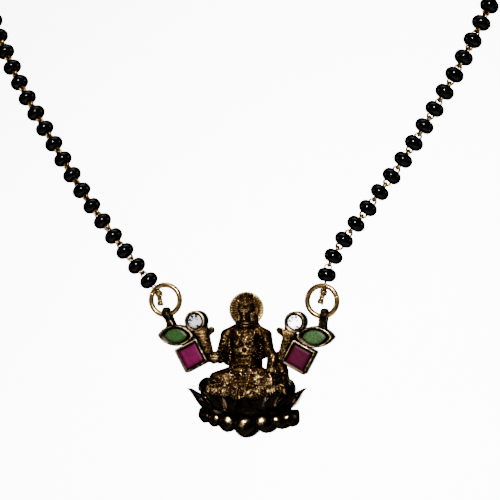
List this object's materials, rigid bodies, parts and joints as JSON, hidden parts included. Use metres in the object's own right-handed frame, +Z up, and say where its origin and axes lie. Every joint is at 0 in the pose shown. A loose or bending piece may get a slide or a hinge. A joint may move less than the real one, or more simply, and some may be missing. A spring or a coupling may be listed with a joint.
{
  "type": "mangalsutra",
  "caption": "Short necklace of black glass beads on linked gold wires, with a cast pendant of a goddess seated on a lotus between set stones.",
  "frame": {"origin": "nape of the neck, at the centre of the clasp, where the necklace rests when worn", "axes": "+Z up, -Y towards the front, where the pendant hangs, +X towards the viewer's right"},
  "size_m": [0.1225, 0.1114, 0.1219],
  "materials": {
    "black_glass": "glossy, opaque",
    "gold_wire": "polished gold plate",
    "antique_gold": "antique gold plate, dark in the hollows",
    "clear_stone": "cut, foil-backed",
    "green_stone": "cut, cloudy",
    "red_stone": "cut, foil-backed"
  },
  "bodies": {
    "chain": {"beads_left": "black_glass", "beads_right": "black_glass", "bead_wires_left": "gold_wire", "bead_wires_right": "gold_wire", "end_wire_left": "gold_wire", "end_wire_right": "gold_wire", "jump_ring_left": "gold_wire", "jump_ring_right": "gold_wire", "clasp": "gold_wire"},
    "pendant": {"pendant_casting": "antique_gold", "round_stone_left": "clear_stone", "round_stone_right": "clear_stone", "marquise_stone_left": "green_stone", "marquise_stone_right": "green_stone", "square_stone_left": "red_stone", "square_stone_right": "red_stone"}
  },
  "joints": [
    {"name": "pendant_swing", "type": "hinge", "parent": "chain", "child": "pendant", "pos_m": [0.00662, -0.10557, -0.09866], "axis": [1, 0, 0], "range_deg": [-75, 75]}
  ]
}
